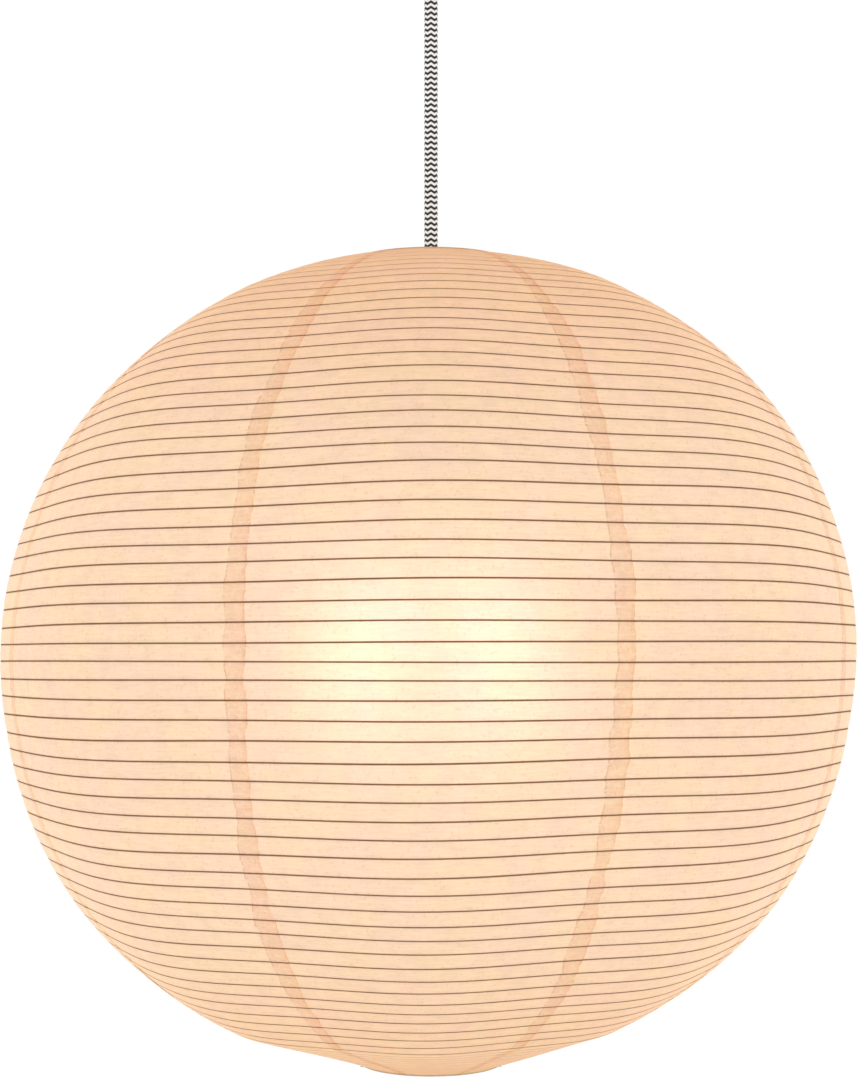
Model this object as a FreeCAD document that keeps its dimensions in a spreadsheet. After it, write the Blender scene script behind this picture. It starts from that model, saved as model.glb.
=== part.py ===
import FreeCAD, Part
import math
import os
import Sketcher

# A pendant paper lantern: a globe of eight glued paper gores over one spiral rib, held open by a
# wire stretcher that hangs on an E27 lampholder, on a textile flex from a ceiling fitting.
# The origin is the centre of the ceiling bracket's top face, so everything hangs at -Z.
# The stretcher's two legs stand on the X axis.

os.makedirs("parts", exist_ok=True)
doc = FreeCAD.newDocument("paper_lantern")
sheet = doc.addObject("Spreadsheet::Sheet", "Sizes")

SIZES = (
    ("drop", 440.0, "ceiling to the shade's widest level"),
    ("shade_width", 450.0, "greatest width of the shade"),
    ("shade_rise", 213.2, "widest level up to the paper's top edge"),
    ("shade_fall", 215.0, "widest level down to the paper's bottom edge"),
    ("shoulder_width", 222.0, "width where the lower arc turns into a cone"),
    ("shoulder_fall", 190.1, "widest level down to that turn"),
    ("top_opening", 90.0, "width of the paper's top edge"),
    ("bottom_opening", 78.2, "width of the paper's bottom edge"),
    ("gores", 8, "number of paper gores"),
    ("paper", 0.6, "paper with its glue layer"),
    ("rib_strip", 1.2, "thickness of the rib's strip"),
    ("rib_pitch", 8.85, "along the paper from turn to turn"),
    ("ring_wire", 3.5, "wire of the shade's two rings"),
    ("glue_gap", 0.3, "air left between the paper and a wire"),
    ("frame_wire", 2.5, "stretcher wire"),
    ("hook_gap", 0.3, "between a stretcher hook and its ring"),
    ("hook_lip", 1.0, "straight end of a hook"),
    ("top_jog", 14.0, "top ring down to the leg's outward bend"),
    ("flex", 7.2, "textile cord"),
    ("flex_gap", 0.4, "round the cord in its grips"),
    ("rim_level", 43.0, "widest level up to the lampholder's rim"),
    ("skirt_width", 40.0, "threaded skirt of the lampholder"),
    ("skirt_wall", 2.6, "its wall"),
    ("skirt_length", 43.0, "rim to the seam with the cap"),
    ("flange_lip", 4.0, "flange that the stretcher's ring sits under, out from the skirt"),
    ("flange_level", 27.0, "rim up to the flange"),
    ("flange_thick", 3.0, "flange"),
    ("thread_gap", 0.3, "between the skirt and the shade ring"),
    ("nut_width", 58.0, "shade ring"),
    ("nut_height", 9.0, "shade ring"),
    ("nut_rim", 3.0, "height of its wide rim"),
    ("cap_straight", 6.0, "upright part of the lampholder's cap"),
    ("cap_slope", 14.0, "sloping part of the cap"),
    ("cap_neck", 20.0, "width of the cap's flat top"),
    ("cap_wall", 2.0, "cap wall"),
    ("stem_width", 10.0, "threaded stem of a cord grip"),
    ("stem_gap", 0.1, "round a stem in its hole"),
    ("grip_width", 16.0, "cord grip"),
    ("grip_height", 14.0, "cord grip on the lampholder"),
    ("grub_width", 3.0, "grub screw in a cord grip"),
    ("core_width", 2.2, "insulated conductor"),
    ("core_circle", 3.46, "circle that the three conductors lie on"),
    ("shell_bore", 27.0, "bore of the lampholder's thread shell"),
    ("shell_wall", 0.6, "thread shell"),
    ("shell_length", 21.0, "lower edge of the thread shell up to the centre contact"),
    ("shell_gap", 3.0, "upper edge of the thread shell up to the centre contact"),
    ("contact_thick", 1.0, "centre contact"),
    ("seat_depth", 28.5, "rim up to the centre contact"),
    ("bulb_width", 60.0, "bulb globe"),
    ("bulb_wall", 1.2, "globe wall"),
    ("bulb_centre", 11.0, "globe's centre below the widest level"),
    ("globe_cut", 21.0, "globe's centre up to its open edge"),
    ("board_thick", 1.6, "LED board"),
    ("bulb_cap", 26.0, "E27 screw cap, width"),
    ("bulb_cap_length", 22.0, "E27 screw cap, length"),
    ("collar_level", 3.0, "rim down to the lower edge of the screw cap"),
    ("pip_width", 8.8, "end contact of the bulb, and the lampholder's centre contact"),
    ("pip_height", 2.8, "end contact of the bulb"),
    ("canopy_width", 100.0, "ceiling cup"),
    ("canopy_depth", 60.0, "ceiling cup"),
    ("canopy_wall", 1.2, "ceiling cup"),
    ("canopy_edge", 6.0, "rounding of the cup's lower edge"),
    ("gland_length", 17.0, "canopy down to the gland's mouth"),
    ("gland_stem", 9.0, "its threaded stem above the canopy's floor"),
    ("gland_nut_width", 17.0, "its hexagon nut, over the corners"),
    ("gland_nut_height", 4.0, "its hexagon nut"),
    ("flare_depth", 8.0, "flared mouth of the gland"),
    ("flare_width", 15.0, "flared mouth of the gland"),
    ("bar_length", 90.0, "ceiling bracket"),
    ("bar_width", 18.0, "ceiling bracket"),
    ("bar_thick", 1.5, "ceiling bracket"),
    ("ear_depth", 14.0, "its down-turned ears"),
    ("slot_spacing", 50.0, "between the two screw slots"),
    ("slot_length", 12.0, "end to end"),
    ("slot_width", 4.5, "for a 4 mm screw"),
    ("side_screw", 3.9, "screws through the canopy's side"),
    ("side_screw_drop", 8.0, "ceiling down to those screws"),
    ("screw_head_width", 7.4, "their heads"),
    ("screw_head_height", 2.1, "their heads"),
    ("screw_reach", 1.0, "their tips past the bracket's ears"),
    ("block_length", 24.0, "terminal block"),
    ("block_width", 16.0, "terminal block"),
    ("block_height", 15.0, "terminal block"),
    ("port_spacing", 6.7, "between the terminal block's ports"),
    ("port_width", 3.0, "terminal block's port"),
    ("port_depth", 5.3, "terminal block's port"),
)
for row, (alias, size, note) in enumerate(SIZES, start=1):
    sheet.set(f"A{row}", alias)
    sheet.set(f"B{row}", str(size))
    sheet.setAlias(f"B{row}", alias)
    sheet.set(f"C{row}", note)
doc.recompute()

# Expressions for the levels and radii that several pieces share.
WIDEST = "(-Sizes.drop)"
TOP_RING_R = "(Sizes.top_opening / 2 - Sizes.glue_gap - Sizes.ring_wire / 2)"
TOP_RING_Z = f"({WIDEST} + Sizes.shade_rise - Sizes.paper)"
LOW_RING_R = "(Sizes.bottom_opening / 2 - Sizes.glue_gap - Sizes.ring_wire / 2)"
LOW_RING_Z = f"({WIDEST} - Sizes.shade_fall + Sizes.paper)"
HOOK_R = "(Sizes.ring_wire / 2 + Sizes.hook_gap + Sizes.frame_wire / 2)"
LEG_X = f"({LOW_RING_R} - {HOOK_R})"
RIM = f"({WIDEST} + Sizes.rim_level)"
FLANGE = f"({RIM} + Sizes.flange_level)"
FLANGE_R = "(Sizes.skirt_width / 2 + Sizes.flange_lip)"
CARRIER_R = "(Sizes.skirt_width / 2 + Sizes.thread_gap + Sizes.frame_wire / 2)"
CARRIER_Z = f"({FLANGE} - Sizes.frame_wire / 2)"
NUT_Z = f"({FLANGE} - Sizes.frame_wire - Sizes.nut_height)"
SEAM = f"({RIM} + Sizes.skirt_length)"
CAP_TOP = f"({SEAM} + Sizes.cap_straight + Sizes.cap_slope)"
GRIP_BORE = "(Sizes.flex / 2 + Sizes.flex_gap)"
CONTACT = f"({RIM} + Sizes.seat_depth)"
COLLAR = f"({RIM} - Sizes.collar_level)"
GLOBE_Z = f"({WIDEST} - Sizes.bulb_centre)"
GLOBE_EDGE = f"({GLOBE_Z} + Sizes.globe_cut)"
MOUTH = "(-Sizes.canopy_depth - Sizes.gland_length)"
PIVOT = f"({MOUTH} + Sizes.flare_depth)"
PARTS = []


def size(alias):
    return float(sheet.get(alias))


def keep(piece, label):
    """Marks a finished sub-part: its label names its node and its file."""
    piece.Label = label
    PARTS.append(piece)
    return piece


def solid(kind, x="0", y="0", z="0", axis=None, turn=0.0, **sizes):
    """A Part primitive with its sizes and its place bound to the sheet."""
    made = doc.addObject(f"Part::{kind}", kind)
    if axis:
        made.Placement = FreeCAD.Placement(FreeCAD.Vector(), FreeCAD.Rotation(axis, turn))
    for name, text in sizes.items():
        made.setExpression(name, text)
    for name, text in zip("xyz", (x, y, z)):
        made.setExpression(f"Placement.Base.{name}", text)
    return made


def tube_x(radius, x, z, length, y="0"):
    """A cylinder that runs along +X from x."""
    return solid("Cylinder", x, y, z, FreeCAD.Vector(0, 1, 0), 90, Radius=radius, Height=length)


def disc(radius, z, height):
    """A cylinder on the vertical axis."""
    return solid("Cylinder", z=z, Radius=radius, Height=height)


def cone(low, high, z, height):
    """A cone on the vertical axis, from radius low at z to radius high above it."""
    return solid("Cone", z=z, Radius1=low, Radius2=high, Height=height)


def fuse(*pieces):
    made = doc.addObject("Part::MultiFuse", "Fuse")
    made.Shapes = list(pieces)
    return made


def cut(base, *tools):
    made = doc.addObject("Part::Cut", "Cut")
    made.Base = base
    made.Tool = tools[0] if len(tools) == 1 else fuse(*tools)
    return made


def copies(label, pieces):
    """Like pieces that share one node as separate solids."""
    made = doc.addObject("Part::Compound", "Compound")
    made.Links = list(pieces)
    return keep(made, label)


def computed(label, shape):
    """A sub-part whose shape comes from Part's own functions."""
    made = doc.addObject("Part::Feature", label)
    made.Shape = shape
    return keep(made, label)


# Ceiling fitting: a steel cross bar that two screws hold to the ceiling.
def make_bracket():
    low = "-Sizes.bar_thick"
    bar = solid("Box", "-Sizes.bar_length / 2", "-Sizes.bar_width / 2", low,
                Length="Sizes.bar_length", Width="Sizes.bar_width", Height="Sizes.bar_thick")
    ears = []
    for x in ("-Sizes.bar_length / 2", "Sizes.bar_length / 2 - Sizes.bar_thick"):
        ears.append(solid("Box", x, "-Sizes.bar_width / 2", "-Sizes.ear_depth",
                          Length="Sizes.bar_thick", Width="Sizes.bar_width", Height="Sizes.ear_depth"))
    holes = []
    for side in ("-1", "1"):
        middle = f"{side} * Sizes.slot_spacing / 2"
        reach = "(Sizes.slot_length - Sizes.slot_width) / 2"
        holes.append(solid("Box", f"{middle} - {reach}", "-Sizes.slot_width / 2", low,
                           Length=f"2 * {reach}", Width="Sizes.slot_width", Height="Sizes.bar_thick"))
        for end in ("-", "+"):
            holes.append(solid("Cylinder", f"{middle} {end} {reach}", z=low,
                               Radius="Sizes.slot_width / 2", Height="Sizes.bar_thick"))
    holes.append(tube_x("Sizes.side_screw / 2 + Sizes.stem_gap / 2", "-Sizes.bar_length / 2",
                        "-Sizes.side_screw_drop", "Sizes.bar_length"))
    keep(cut(fuse(bar, *ears), *holes), "ceiling_bracket")


# The cup that hides the wiring, with a hole for the gland and two for its side screws.
def make_canopy():
    low = "-Sizes.canopy_depth"
    outer = disc("Sizes.canopy_width / 2", low, "Sizes.canopy_depth")
    doc.recompute()
    rounded = doc.addObject("Part::Fillet", "RoundedCup")
    rounded.Base = outer
    rim = [n for n, edge in enumerate(outer.Shape.Edges, start=1)
           if len(edge.Vertexes) == 1 and abs(edge.CenterOfMass.z + size("canopy_depth")) < 1e-6]
    rounded.Edges = [(n, size("canopy_edge"), size("canopy_edge")) for n in rim]
    inner = disc("Sizes.canopy_width / 2 - Sizes.canopy_wall", f"{low} + Sizes.canopy_wall",
                 "Sizes.canopy_depth")
    doc.recompute()
    hollow = doc.addObject("Part::Fillet", "RoundedHollow")
    hollow.Base = inner
    inside = size("canopy_edge") - size("canopy_wall")
    floor = [n for n, edge in enumerate(inner.Shape.Edges, start=1) if len(edge.Vertexes) == 1
             and abs(edge.CenterOfMass.z + size("canopy_depth") - size("canopy_wall")) < 1e-6]
    hollow.Edges = [(n, inside, inside) for n in floor]
    stem_hole = disc("Sizes.stem_width / 2 + Sizes.stem_gap", low, "Sizes.canopy_wall * 2")
    side_hole = tube_x("Sizes.side_screw / 2 + Sizes.stem_gap", "-Sizes.canopy_width / 2",
                       "-Sizes.side_screw_drop", "Sizes.canopy_width")
    keep(cut(rounded, hollow, stem_hole, side_hole), "canopy")


# Two pan-head screws through the cup's side into the bracket's ears.
def make_canopy_screws():
    screws = []
    head_r = "Sizes.screw_head_width / 2"
    head = "Sizes.screw_head_height"
    edge = "(Sizes.canopy_width / 2)"
    shank = f"({edge} - Sizes.bar_length / 2 + Sizes.bar_thick + Sizes.screw_reach)"
    for side, shank_x, head_x in (("left", f"-{edge}", f"-{edge} - {head}"),
                                  ("right", f"{edge} - {shank}", edge)):
        level = "-Sizes.side_screw_drop"
        screws.append(fuse(tube_x("Sizes.side_screw / 2", shank_x, level, shank),
                           tube_x(head_r, head_x, level, head)))
    copies("canopy_screws", screws)


# The gland that carries the flex: a stem through the cup, a body below it and a flared mouth
# that lets the flex swing without kinking.
def make_gland():
    stem_top = "Sizes.canopy_wall + Sizes.gland_stem"
    body = disc("Sizes.grip_width / 2", MOUTH, "Sizes.gland_length")
    stem = disc("Sizes.stem_width / 2", "-Sizes.canopy_depth", stem_top)
    bore = disc(GRIP_BORE, PIVOT, f"Sizes.gland_length - Sizes.flare_depth + {stem_top}")
    flare = cone("Sizes.flare_width / 2", GRIP_BORE, MOUTH, "Sizes.flare_depth")
    grub = tube_x("Sizes.grub_width / 2", "0", "-Sizes.canopy_depth - Sizes.grub_width",
                  "Sizes.grip_width / 2")
    keep(cut(fuse(body, stem), bore, flare, grub), "canopy_gland")
    nut_z = "-Sizes.canopy_depth + Sizes.canopy_wall"
    nut = solid("Prism", z=nut_z, Circumradius="Sizes.gland_nut_width / 2",
                Height="Sizes.gland_nut_height")
    nut.Polygon = 6
    thread = disc("Sizes.stem_width / 2 + Sizes.stem_gap / 2", nut_z, "Sizes.gland_nut_height")
    keep(cut(nut, thread), "gland_nut")
    keep(tube_x("Sizes.grub_width / 2 - Sizes.stem_gap / 2", "Sizes.flex / 2 + Sizes.stem_gap",
                "-Sizes.canopy_depth - Sizes.grub_width",
                "Sizes.grip_width / 2 - Sizes.flex / 2 - Sizes.stem_gap"), "gland_grub_screw")


# The connector under the bracket, and the end of the flex that runs up to it.
def make_wiring():
    block_low = "(-Sizes.bar_thick - Sizes.block_height)"
    block = solid("Box", "-Sizes.block_length / 2", "-Sizes.block_width / 2", block_low,
                  Length="Sizes.block_length", Width="Sizes.block_width",
                  Height="Sizes.block_height")
    ports = []
    for k in (-1, 0, 1):
        ports.append(solid("Cylinder", f"{k} * Sizes.port_spacing",
                           "-Sizes.block_width / 2", f"{block_low} + Sizes.block_height / 2",
                           FreeCAD.Vector(1, 0, 0), -90, Radius="Sizes.port_width / 2",
                           Height="Sizes.port_depth"))
    keep(cut(block, *ports), "terminal_block")
    start = f"({PIVOT} + Sizes.flex / 2 + Sizes.flex_gap)"
    keep(disc("Sizes.flex / 2", start, f"{block_low} - {start}"), "flex_tail")


# The hanging flex: one straight run with a round end in the gland, where it swings.
def make_flex():
    low = f"({CAP_TOP} - Sizes.cap_wall)"
    run = disc("Sizes.flex / 2", low, f"{PIVOT} - {low}")
    ball = solid("Sphere", z=PIVOT, Radius="Sizes.flex / 2")
    keep(fuse(run, ball), "flex")


# Lampholder: cord grip, cap, threaded skirt, insulating core, thread shell and contact.
def make_lampholder():
    grip = disc("Sizes.grip_width / 2", CAP_TOP, "Sizes.grip_height")
    stem = disc("Sizes.stem_width / 2", f"{CAP_TOP} - Sizes.cap_wall", "Sizes.cap_wall")
    bore = disc(GRIP_BORE, f"{CAP_TOP} - Sizes.cap_wall", "Sizes.grip_height + Sizes.cap_wall")
    grub_z = f"{CAP_TOP} + Sizes.grip_height / 2"
    grub = tube_x("Sizes.grub_width / 2", "0", grub_z, "Sizes.grip_width / 2")
    keep(cut(fuse(grip, stem), bore, grub), "holder_cord_grip")
    keep(tube_x("Sizes.grub_width / 2 - Sizes.stem_gap / 2", "Sizes.flex / 2 + Sizes.stem_gap",
                grub_z, "Sizes.grip_width / 2 - Sizes.flex / 2 - Sizes.stem_gap"),
         "holder_grub_screw")

    wide = f"{FLANGE_R} - Sizes.flange_thick / 2"
    slope_z = f"{SEAM} + Sizes.cap_straight"
    outer = fuse(disc(wide, SEAM, "Sizes.cap_straight"),
                 cone(wide, "Sizes.cap_neck / 2", slope_z, "Sizes.cap_slope"))
    inner = fuse(disc(f"{wide} - Sizes.cap_wall", SEAM, "Sizes.cap_straight"),
                 cone(f"{wide} - Sizes.cap_wall", "Sizes.cap_neck / 2 - Sizes.cap_wall / 2",
                      slope_z, "Sizes.cap_slope - Sizes.cap_wall"))
    hole = disc("Sizes.stem_width / 2 + Sizes.stem_gap", slope_z, "Sizes.cap_slope")
    keep(cut(outer, inner, hole), "holder_cap")

    skirt_r = "Sizes.skirt_width / 2"
    above = "Sizes.skirt_length - Sizes.flange_level - Sizes.flange_thick"
    body = fuse(disc(skirt_r, RIM, "Sizes.skirt_length"),
                disc(FLANGE_R, FLANGE, "Sizes.flange_thick"),
                disc(wide, f"{FLANGE} + Sizes.flange_thick", above))
    keep(cut(body, disc(f"{skirt_r} - Sizes.skirt_wall", RIM, "Sizes.skirt_length")),
         "holder_skirt")

    core_r = f"({skirt_r} - Sizes.skirt_wall - Sizes.stem_gap)"
    core_low = f"({CONTACT} - Sizes.shell_length)"
    shell_r = "(Sizes.shell_bore / 2 + Sizes.shell_wall)"
    block = disc(core_r, core_low, f"{SEAM} - {core_low}")
    well = disc(shell_r, core_low, "Sizes.shell_length + Sizes.contact_thick")
    keep(cut(block, well), "holder_core")
    shell = disc(shell_r, core_low, "Sizes.shell_length - Sizes.shell_gap")
    keep(cut(shell, disc("Sizes.shell_bore / 2", core_low, "Sizes.shell_length")),
         "thread_shell")
    keep(disc("Sizes.pip_width / 2", CONTACT, "Sizes.contact_thick"), "centre_contact")

    cores = []
    for k in range(3):
        cores.append(solid("Cylinder", f"Sizes.core_circle / 2 * cos({120 * k}deg)",
                           f"Sizes.core_circle / 2 * sin({120 * k}deg)", SEAM,
                           Radius="Sizes.core_width / 2",
                           Height=f"{CAP_TOP} - Sizes.cap_wall - {SEAM}"))
    copies("conductors", cores)


# The shade ring: a nut on the skirt's thread that clamps the stretcher's ring to the flange.
def make_shade_ring():
    rim = disc("Sizes.nut_width / 2", NUT_Z, "Sizes.nut_rim")
    hub = disc("Sizes.skirt_width / 2 + Sizes.skirt_wall + Sizes.thread_gap", NUT_Z,
               "Sizes.nut_height")
    hole = disc("Sizes.skirt_width / 2 + Sizes.thread_gap", NUT_Z, "Sizes.nut_height")
    keep(cut(fuse(rim, hub), hole), "shade_ring_nut")


# Bulb: an opal globe on a tapered housing, with the LED board between them and an E27 cap.
def make_bulb():
    outer_r = "Sizes.bulb_width / 2"
    inner_r = f"({outer_r} - Sizes.bulb_wall)"
    cut_r = f"sqrt({outer_r} * {outer_r} - Sizes.globe_cut * Sizes.globe_cut)"
    room = f"({COLLAR} - {GLOBE_EDGE})"
    ball = solid("Sphere", z=GLOBE_Z, Radius=outer_r)
    hollow = solid("Sphere", z=GLOBE_Z, Radius=inner_r)
    keep(cut(ball, hollow, disc(outer_r, GLOBE_EDGE, outer_r)), "bulb_globe")
    cap_r = "(Sizes.bulb_cap / 2)"
    shell = cut(cone(cut_r, cap_r, GLOBE_EDGE, room),
                cone(f"{cut_r} - 2 * Sizes.bulb_wall", f"{cap_r} - 2 * Sizes.bulb_wall",
                     GLOBE_EDGE, room))
    keep(shell, "bulb_housing")
    board_r = f"sqrt({inner_r} * {inner_r} - Sizes.globe_cut * Sizes.globe_cut) - 2 * Sizes.stem_gap"
    keep(disc(board_r, f"{GLOBE_EDGE} - Sizes.board_thick", "Sizes.board_thick"), "led_board")
    cap = cut(disc(cap_r, COLLAR, "Sizes.bulb_cap_length"),
              disc(f"{cap_r} - Sizes.shell_wall", COLLAR, "Sizes.bulb_cap_length"))
    keep(cap, "bulb_screw_cap")
    top = f"({COLLAR} + Sizes.bulb_cap_length)"
    pip_low = f"({CONTACT} - Sizes.hook_gap - Sizes.pip_height)"
    pip_r = "Sizes.pip_width / 2"
    keep(cone(cap_r, pip_r, top, f"{pip_low} - {top}"), "bulb_insulator")
    keep(disc(pip_r, pip_low, "Sizes.pip_height"), "bulb_contact")


# Stretcher: a ring round the lampholder, two spokes, and two legs that hook under the shade's
# bottom ring and over its top ring.
def rounded_path(points, bends):
    """Straight runs through points, with a tangent arc of the given radius at each inner one."""
    edges = []
    start = points[0]
    for before, corner, after, bend in zip(points, points[1:], points[2:], bends):
        to_start = (before - corner).normalize()
        to_end = (after - corner).normalize()
        half = to_start.getAngle(to_end) / 2
        reach = bend / math.tan(half)
        first = corner + to_start * reach
        last = corner + to_end * reach
        centre = corner + (to_start + to_end).normalize() * (bend / math.sin(half))
        middle = centre + (corner - centre).normalize() * bend
        edges.append(Part.makeLine(start, first))
        edges.append(Part.Arc(first, middle, last).toShape())
        start = last
    edges.append(Part.makeLine(start, points[-1]))
    return Part.Wire(edges)


def bent_wire(points, bends, thickness):
    path = rounded_path(points, bends)
    direction = points[1] - points[0]
    section = Part.Wire([Part.makeCircle(thickness / 2, points[0], direction)])
    return path.makePipeShell([section], True, True)


def make_stretcher():
    ring_r = size("ring_wire") / 2
    wire = size("frame_wire")
    hook = ring_r + size("hook_gap") + wire / 2
    low_r = size("bottom_opening") / 2 - size("glue_gap") - ring_r
    low_z = -size("drop") - size("shade_fall") + size("paper")
    top_r = size("top_opening") / 2 - size("glue_gap") - ring_r
    top_z = -size("drop") + size("shade_rise") - size("paper")
    leg = low_r - hook
    jog = top_z - size("top_jog")
    for side, name in ((-1, "left"), (1, "right")):
        points = [FreeCAD.Vector(side * x, 0, z) for x, z in (
            (low_r + size("hook_lip"), low_z - hook),
            (leg, low_z - hook),
            (leg, jog),
            (top_r - hook, jog + top_r - hook - leg),
            (top_r - hook, top_z + hook),
            (top_r + size("hook_lip"), top_z + hook),
        )]
        computed(f"stretcher_leg_{name}", bent_wire(points, (hook, 2 * wire, wire, hook), wire))
    for side, name, x in (("-", "left", f"-{LEG_X}"), ("+", "right", CARRIER_R)):
        keep(tube_x("Sizes.frame_wire / 2", x, CARRIER_Z, f"{LEG_X} - {CARRIER_R}"),
             f"stretcher_spoke_{name}")
    keep(solid("Torus", z=CARRIER_Z, Radius1=CARRIER_R, Radius2="Sizes.frame_wire / 2"),
         "carrier_ring")


# The shade's two wire rings.
def make_rings():
    keep(solid("Torus", z=TOP_RING_Z, Radius1=TOP_RING_R, Radius2="Sizes.ring_wire / 2"),
         "top_ring")
    keep(solid("Torus", z=LOW_RING_Z, Radius1=LOW_RING_R, Radius2="Sizes.ring_wire / 2"),
         "bottom_ring")


# Paper gores: one lobe of the shade's wall, revolved through its share of a turn. In the profile
# both arcs have their centres on the widest level, so the wall is upright there.
def bind(sketch, kind, *where, alias, share=1.0):
    """A dimension of the sketch, bound to a share of one size in the sheet."""
    number = sketch.addConstraint(Sketcher.Constraint(kind, *where, size(alias) * share))
    sketch.setExpression(f"Constraints[{number}]", f"Sizes.{alias} * {share}")


def arc_about(centre_x, start, end):
    """An arc of the profile, whose centre lies at centre_x on the widest level."""
    radius = math.hypot(start[0] - centre_x, start[1])
    angles = sorted(math.atan2(z, x - centre_x) for x, z in (start, end))
    circle = Part.Circle(FreeCAD.Vector(centre_x, 0, 0), FreeCAD.Vector(0, 0, 1), radius)
    return Part.ArcOfCircle(circle, *angles)


def centre_on_level(wide, end):
    """Where on the widest level the centre of an arc from (wide, 0) to end lies."""
    return (wide ** 2 - end[0] ** 2 - end[1] ** 2) / (2 * (wide - end[0]))


def make_gore(number):
    body = doc.addObject("PartDesign::Body", f"Gore{number}")
    profile = body.newObject("Sketcher::SketchObject", f"GoreProfile{number}")
    planes = {feature.Role: feature for feature in body.Origin.OriginFeatures}
    profile.AttachmentSupport = (planes["XZ_Plane"], "")
    profile.MapMode = "FlatFace"

    wide = size("shade_width") / 2
    wall = size("paper")
    top = (size("top_opening") / 2, size("shade_rise"))
    turn = (size("shoulder_width") / 2, -size("shoulder_fall"))
    low = (size("bottom_opening") / 2, -size("shade_fall"))
    upper = centre_on_level(wide, top)
    lower = centre_on_level(wide, turn)
    inner_top = (top[0], top[1] - wall)
    inner_turn = (turn[0], turn[1] + wall)
    inner_low = (low[0], low[1] + wall)
    flat = [FreeCAD.Vector(x, z, 0) for x, z in (turn, low, inner_low, inner_turn, inner_top, top)]
    outer_up = profile.addGeometry(arc_about(upper, (wide, 0), top))
    outer_down = profile.addGeometry(arc_about(lower, (wide, 0), turn))
    outer_cone = profile.addGeometry(Part.LineSegment(flat[0], flat[1]))
    low_edge = profile.addGeometry(Part.LineSegment(flat[1], flat[2]))
    inner_cone = profile.addGeometry(Part.LineSegment(flat[2], flat[3]))
    inner_down = profile.addGeometry(arc_about(lower, (wide - wall, 0), inner_turn))
    inner_up = profile.addGeometry(arc_about(upper, (wide - wall, 0), inner_top))
    top_edge = profile.addGeometry(Part.LineSegment(flat[4], flat[5]))

    for one, its_end, other, other_end in (
        (outer_down, 2, outer_up, 1), (outer_down, 1, outer_cone, 1), (outer_cone, 2, low_edge, 1),
        (low_edge, 2, inner_cone, 1), (inner_cone, 2, inner_down, 1), (inner_down, 2, inner_up, 1),
        (inner_up, 2, top_edge, 1), (top_edge, 2, outer_up, 2),
        (outer_up, 3, inner_up, 3), (outer_down, 3, inner_down, 3),
    ):
        profile.addConstraint(Sketcher.Constraint("Coincident", one, its_end, other, other_end))
    for geometry, point in ((outer_up, 3), (outer_up, 1), (inner_up, 1), (outer_down, 3)):
        profile.addConstraint(Sketcher.Constraint("PointOnObject", geometry, point, -1))
    for edge in (low_edge, top_edge):
        profile.addConstraint(Sketcher.Constraint("Vertical", edge))
    profile.addConstraint(Sketcher.Constraint("Parallel", outer_cone, inner_cone))
    bind(profile, "DistanceX", -1, 1, outer_up, 1, alias="shade_width", share=0.5)
    bind(profile, "DistanceX", inner_up, 1, outer_up, 1, alias="paper")
    bind(profile, "DistanceX", -1, 1, outer_up, 2, alias="top_opening", share=0.5)
    bind(profile, "DistanceY", -1, 1, outer_up, 2, alias="shade_rise")
    bind(profile, "DistanceX", -1, 1, outer_cone, 1, alias="shoulder_width", share=0.5)
    bind(profile, "DistanceY", outer_cone, 1, -1, 1, alias="shoulder_fall")
    bind(profile, "DistanceX", -1, 1, outer_cone, 2, alias="bottom_opening", share=0.5)
    bind(profile, "DistanceY", outer_cone, 2, -1, 1, alias="shade_fall")
    bind(profile, "Distance", inner_cone, 1, outer_cone, alias="paper")

    lobe = body.newObject("PartDesign::Revolution", f"GoreWall{number}")
    lobe.Profile = profile
    lobe.ReferenceAxis = (profile, ["V_Axis"])
    lobe.setExpression("Angle", "360 / Sizes.gores")
    first_seam = f"({number} - 0.5) * 360 / Sizes.gores - 90"
    body.Placement = FreeCAD.Placement(FreeCAD.Vector(), FreeCAD.Rotation(FreeCAD.Vector(0, 0, 1), 1))
    body.setExpression("Placement.Rotation.Angle", first_seam)
    body.setExpression("Placement.Base.z", WIDEST)
    keep(body, f"paper_gore_{number}")


# The rib: a thin strip whose turns lie under the paper at even steps along the profile. Each turn
# is a closed ring here, and together they stand for the one spiral.
def profile_point(along):
    """Radius, height and inward normal on the paper's outer profile. Zero is the widest level."""
    wide = size("shade_width") / 2
    top = (size("top_opening") / 2, size("shade_rise"))
    turn = (size("shoulder_width") / 2, size("shoulder_fall"))
    end = top if along > 0 else turn
    centre = centre_on_level(wide, end)
    radius = wide - centre
    angle = abs(along) / radius
    sign = 1 if along > 0 else -1
    last = math.asin(end[1] / radius)
    if along > 0 or angle <= last:
        return (centre + radius * math.cos(angle), sign * radius * math.sin(angle),
                -math.cos(angle), -sign * math.sin(angle))
    low = (size("bottom_opening") / 2, -size("shade_fall"))
    run = math.hypot(turn[0] - low[0], turn[1] + low[1])
    step = (abs(along) - last * radius) / run
    x_dir, z_dir = (low[0] - turn[0]) / run, (low[1] + turn[1]) / run
    return (turn[0] + x_dir * step * run, -turn[1] + z_dir * step * run, z_dir, -x_dir)


def profile_lengths():
    wide = size("shade_width") / 2
    lengths = []
    for x, z in ((size("top_opening") / 2, size("shade_rise")),
                 (size("shoulder_width") / 2, size("shoulder_fall"))):
        radius = wide - centre_on_level(wide, (x, z))
        lengths.append(radius * math.asin(z / radius))
    lengths[1] += math.hypot((size("shoulder_width") - size("bottom_opening")) / 2,
                             size("shade_fall") - size("shoulder_fall"))
    return lengths


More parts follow.
